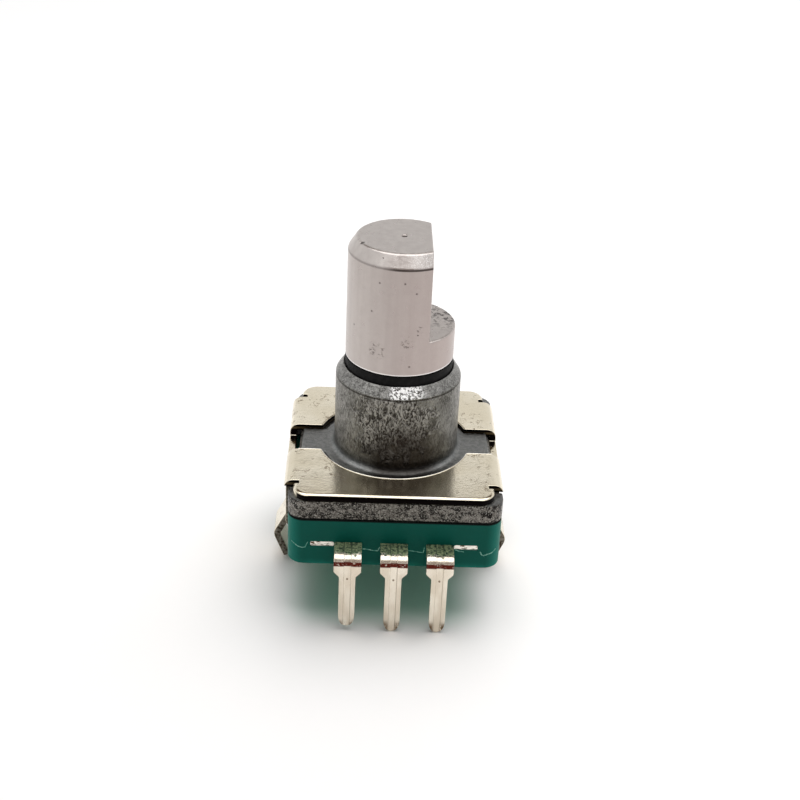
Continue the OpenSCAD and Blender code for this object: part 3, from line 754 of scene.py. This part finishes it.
# Painted shade: inside the centre mark, and a dark line just under the chamfer.
centre_mark_shade = turned.nearness((0, 0, shaft_top), 0.5).between(0.5, 0.6)
centre_mark_shade = centre_mark_shade * (1 - level.between(shaft_top - 0.045, shaft_top - 0.02))
chamfer_edge_shade = level.between(16.18, 16.22) * (1 - level.between(16.28, 16.33))
chamfer_edge_shade = chamfer_edge_shade * (turned.axis("X").between(-1.3, -0.3) * 0.55 + 0.35)
foot_highlight = 1 - level.between(10.14, 10.2)
chamfer = level.between(16.3, 16.36) * (1 - level.between(16.93, 16.97))
glints = chamfer * satin.between(0.5, 0.6) * turned.nearness((1.0, -2.4, 16.6), 1.6) * 0.7
wall_only = 1 - turned.facing("Z").away_from(0).between(0.3, 0.6)
# Painted reflection: the right side of the wall is tinted warm pink.
warm_side_reflection = turned.axis("X").between(-2.6, 0.8) * wall_only
# Painted reflection: a dark patch on the front of the chamfer.
chamfer_dark_reflection = chamfer * turned.nearness((-0.3, -2.6, 16.6), 0.8) * haze.between(0.35, 0.6)
shaft_seen = (bands * 0.6 + haze * 0.4).between(0.3, 0.7).tint(aluminium_dull, aluminium)
shaft_seen = (smear * 0.25).tint(shaft_seen, aluminium_dull)
shaft_seen = (wall_only * 0.35).tint(shaft_seen, aluminium_shade)
shaft_seen = (warm_side_reflection * 0.32).tint(shaft_seen, aluminium_warm_reflection)
shaft_seen = (chamfer_dark_reflection * 0.7).tint(shaft_seen, aluminium_dark_reflection)
# Painted highlights: a bright line round the foot of the shaft, and glints on the front of the chamfer.
shaft_seen = (foot_highlight * 0.8 + glints * 0.8).tint(shaft_seen, aluminium_painted_highlight)
# Dents and nicks are real marks with painted shade in them, scuff scratches and ledge marks are wear, and
# the centre mark and the line under the chamfer are painted shade.
shaft_seen = (nicks * 0.8 + scratch * 0.5 + ledge_rim * 0.95 + centre_mark_shade * 0.95 + chamfer_edge_shade).tint(
    shaft_seen, aluminium_dirt_and_shade)
turned_aluminium = turned.wear(
    Base_Color=shaft_seen, Roughness=haze * 0.16 + 0.22,
    Normal=turned.bump(haze * 0.5 + satin * 0.3 - nicks - scratch - ledge_rim, 0.018))
seat(eased_copy("shaft", "turned_shaft", shaft_edges, sharp=20), turned_aluminium,
     "spindle", "shaft_aluminium", "shaft")

# ---- Inside: rotor, code disc, detent spring, washer and retaining ring ----
# They are hidden in the body. The rotor is moulded in black, and the rest is stamped sheet.

black = Finish("moulded_black", Roughness=0.5)
sheen = black.noise(0.6, 3)
moulded_black = black.wear(
    Base_Color=sheen.tint((0.012, 0.012, 0.012), (0.03, 0.03, 0.03)),
    Roughness=sheen * 0.2 + 0.4)
brass = Finish("stamped_brass", Metallic=1.0)
tarnish = brass.noise(0.7, 3)
stamped_brass = brass.wear(
    Base_Color=tarnish.tint((0.70, 0.47, 0.16), (0.84, 0.62, 0.28)),
    Roughness=tarnish * 0.2 + 0.2)
spring = Finish("spring_steel", Metallic=1.0)
rolling = spring.noise(0.4, 3, place=spring.stretched((0.2, 1, 1)))
spring_steel = spring.wear(
    Base_Color=rolling.tint((0.42, 0.41, 0.40), (0.58, 0.57, 0.55)),
    Roughness=rolling * 0.2 + 0.2)
for node, finish in (("rotor", moulded_black), ("code_disc", stamped_brass),
                     ("detent_spring", spring_steel), ("thrust_washer", spring_steel),
                     ("retaining_ring", spring_steel)):
    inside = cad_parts[node]
    inside.data.materials.clear()
    inside.data.materials.append(finish)

# ---- Floor and light ----
# White paper under the object, a wide soft lamp overhead, behind and a little to the right.
# Metal sees a pale room with a bright ceiling, a brown shelf behind, and the phone in front.

floor_z = -3.4 * MM
floor_size = 3.0
paper = (0.90, 0.885, 0.875)
paper_grey = (0.91, 0.895, 0.885)
paper_green_shadow = (0.28, 0.58, 0.44)
fade_from, fade_to = 30, 260
lamp_place = Vector((0.035, 0.065, 0.21))
lamp_w, lamp_d = 0.24, 0.26
lamp_power = 0.62
room_level = 0.40
room_seen = (0.92, 0.92, 0.92)
ceiling_seen = (2.2, 2.2, 2.2)
shelf_seen = (0.10, 0.065, 0.040)
phone_seen = (0.380, 0.335, 0.310)
phone_up = radians(14)
phone_way = (0.0, -cos(phone_up), sin(phone_up))
phone_edge = radians(31), radians(21)
ceiling_from = radians(42), radians(50)
shelf_from = radians(33), radians(36)
shelf_to = radians(58), radians(63)
shelf_behind = 0.25, 0.4

sheet_mesh = bpy.data.meshes.new("white_paper")
corners = np.array([(-1, -1, 0), (1, -1, 0), (1, 1, 0), (-1, 1, 0)]) * floor_size / 2
corners[:, 2] = floor_z
sheet_mesh.from_pydata(corners.tolist(), [], [(0, 1, 2, 3)])
floor = bpy.data.objects.new("white_paper", sheet_mesh)
bpy.context.scene.collection.objects.link(floor)
white = Finish("white_paper", Roughness=0.9)
white.surface.inputs["Specular IOR Level"].default_value = 0.2
fibre = white.noise(0.4, 3)
# Painted shadow: the paper under the base is tinted a shaded green.
under = white.axis("Y").between(-7.9, -4.9) * (1 - white.axis("Y").between(-2.0, 5.0))
under = under * (1 - white.axis("X").away_from(-0.5).between(2.6, 6.2))
paper_seen = fibre.tint(paper, paper_grey)
paper_seen = (under * 0.8).tint(paper_seen, paper_green_shadow)
white.wear(Base_Color=paper_seen)
away = white.start.node("VectorMath", {"operation": "LENGTH"}, {0: white.place}, out=1)
far = away.between(fade_from, fade_to)
glow = white.start.node("Emission", {}, {"Color": (1, 1, 1, 1), "Strength": 1.0})
lit_paper = Shade(white.tree, white.surface.outputs[0])
blend = white.start.node("MixShader", {}, {0: far, 1: lit_paper, 2: glow})
white.tree.links.new(blend.socket, white.tree.nodes["Material Output"].inputs["Surface"])
floor.data.materials.append(white.material)
floor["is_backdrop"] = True

lamp_data = bpy.data.lights.new("soft_box", "AREA")
lamp_data.shape = "RECTANGLE"
lamp_data.size, lamp_data.size_y = lamp_w, lamp_d
lamp_data.energy = lamp_power
lamp = bpy.data.objects.new("soft_box", lamp_data)
lamp.matrix_world = Matrix.Translation(lamp_place) @ (
    lamp_place.to_track_quat("Z", "Y").to_matrix().to_4x4())
lamp.visible_glossy = False
bpy.context.scene.collection.objects.link(lamp)

room = bpy.data.worlds.new("pale_room")
bpy.context.scene.world = room
room.use_nodes = True
walls = Shade(room.node_tree)
look = walls.node("TexCoord", out=0)
look_y = walls.node("SeparateXYZ", {}, {0: look}, out=1)
look_up = walls.node("SeparateXYZ", {}, {0: look}, out=2)
toward = walls.node("VectorMath", {"operation": "DOT_PRODUCT"}, {0: look, 1: phone_way}, out=1)
phone = toward.between(*map(cos, phone_edge))
ceiling = look_up.between(*map(sin, ceiling_from))
shelf = look_up.between(*map(sin, shelf_from)) * (1 - look_up.between(*map(sin, shelf_to)))
shelf = shelf * look_y.between(*shelf_behind)
seen = ceiling.tint(room_seen, ceiling_seen)
seen = shelf.tint(seen, shelf_seen)
seen = phone.tint(seen, phone_seen)
path = walls.node("LightPath", out="Is Camera Ray")
shiny = walls.node("LightPath", out="Is Glossy Ray")
lit = shiny.tint((room_level, room_level, room_level), seen)
shown = path.tint(lit, (1.0, 1.0, 1.0))
ground = room.node_tree.nodes["Background"]
room.node_tree.links.new(shown.socket, ground.inputs["Color"])

bpy.context.scene.view_settings.view_transform = "Standard"

# ---- How far each named feature shows from its image point ----
# The finished vertices of every piece go through the camera, and those that another piece
# hides are left out. The front rim's ends are rounded, so the limits in front decide where
# its two points lie. They were set to suit the points, and not from the part's sizes.

bpy.context.view_layer.update()
depsgraph = bpy.context.evaluated_depsgraph_get()
solid = skin_of(*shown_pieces())
finished = {}
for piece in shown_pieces():
    made = piece.evaluated_get(depsgraph)
    mesh = made.to_mesh()
    co = np.empty(len(mesh.vertices) * 3)
    mesh.vertices.foreach_get("co", co)
    finished[piece.name] = co.reshape(-1, 3)
    made.to_mesh_clear()
everything = np.concatenate(list(finished.values()))


def showing(piece, inside):
    """Image points of a piece's finished vertices that pass inside and that nothing hides."""
    near = finished[piece][inside(*(finished[piece] / MM).T)]
    kept = []
    for point in near:
        way = Vector(point) - camera_place
        hit = solid.ray_cast(camera_place, way.normalized(), way.length - 0.02 * MM)
        if hit[0] is None:
            kept.append(point)
    return in_image(kept if kept else near)


everywhere = in_image(everything)
mark = showing("turned_shaft", lambda x, y, z: (z > 16.7) & (x * x + y * y < 0.05))
tip_edge = showing("turned_shaft", lambda x, y, z: (z > 16.9) & (x > 1.35))
ledge = showing("turned_shaft", lambda x, y, z: (abs(z - 12) < 0.1) & (x < 1.62) & (x > 1.3))
shaft_low = showing("turned_shaft", lambda x, y, z: abs(z - 10.1) < 0.1)
barrel = showing("cast_bushing", lambda x, y, z: (z > 4.6) & (z < 8.95))
near_cut = showing("plated_bracket", lambda x, y, z: (abs(x) < 1.0) & (y < -4) & (y > -5) & (z > 4.4))
front = showing("plated_bracket", lambda x, y, z: (y < -6.1) & (z > 4.2) & (x > -4.75) & (x < 4.9))
tips = {name: showing("tinned_terminal_" + name, lambda x, y, z: z < -2.5) for name in "acb"}
tie = showing("torn_tie_bar_left", lambda x, y, z: y < -6.1)
flash = showing("flash_line_left", lambda x, y, z: (x > -5.2) & (x < -4.9))
measured = {
    "object_left": (everywhere[:, 0].min(), None),
    "object_right": (everywhere[:, 0].max(), None),
    "object_top": (None, everywhere[:, 1].min()),
    "object_bottom": (None, everywhere[:, 1].max()),
    "centre_mark": (mark.min(0) + mark.max(0)) / 2,
    "flat_far_corner": tip_edge[tip_edge[:, 1].argmin()],
    "flat_near_corner": tip_edge[tip_edge[:, 1].argmax()],
    "ledge_near_corner": ledge[ledge[:, 1].argmax()],
    "shaft_foot": (None, shaft_low[:, 1].max()),
    "bushing_left": (barrel[:, 0].min(), None),
    "bushing_right": (barrel[:, 0].max(), None),
    "cutout_near": (None, near_cut[:, 1].max()),
    "plate_front_left": front[front[:, 0].argmin()],
    "plate_front_right": front[front[:, 0].argmax()],
    "tip_a": (tips["a"][:, 0].mean(), tips["a"][:, 1].max()),
    "tip_c": (tips["c"][:, 0].mean(), tips["c"][:, 1].max()),
    "tip_b": (tips["b"][:, 0].mean(), tips["b"][:, 1].max()),
    "tie_bar_left": (tie.min(0) + tie.max(0)) / 2,
    "flash_line": flash.mean(0),
}
offsets = {name: [None if wanted is None or found is None else round(float(found - wanted), 2)
                  for wanted, found in zip(image_points[name], measured[name])]
           for name in image_points}
